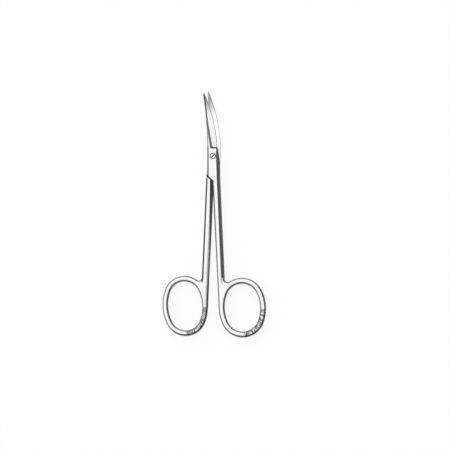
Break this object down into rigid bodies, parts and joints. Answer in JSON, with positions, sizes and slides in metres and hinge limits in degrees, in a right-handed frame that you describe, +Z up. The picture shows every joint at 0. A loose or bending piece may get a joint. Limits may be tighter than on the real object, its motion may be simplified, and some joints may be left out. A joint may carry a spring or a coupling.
{
  "type": "dissecting scissors",
  "caption": "Small curved dissecting scissors with lap joint, slotted pivot screw and oval finger rings, for cutting tissue, sutures and gauze.",
  "frame": {"origin": "on the pivot's axis, at the underside of the joint plate, which lies on the table", "axes": "+Y from the pivot towards the blades' points, +Z up out of the table along the pivot's axis, +X to the right seen from above, with the points up"},
  "size_m": [0.0483, 0.1143, 0.0032],
  "materials": {
    "upper_steel": "polished stainless steel with fine grinding lines",
    "lower_steel": "polished stainless steel with fine grinding lines",
    "screw_steel": "turned stainless steel"
  },
  "bodies": {
    "lower": {"lower_half": "lower_steel", "pivot_screw": "screw_steel"},
    "upper": {"upper_half": "upper_steel"}
  },
  "joints": [
    {"name": "pivot", "type": "hinge", "parent": "lower", "child": "upper", "pos_m": [0, 0, 0.0016], "axis": [0, 0, 1], "range_deg": [-3.5, 50]}
  ]
}
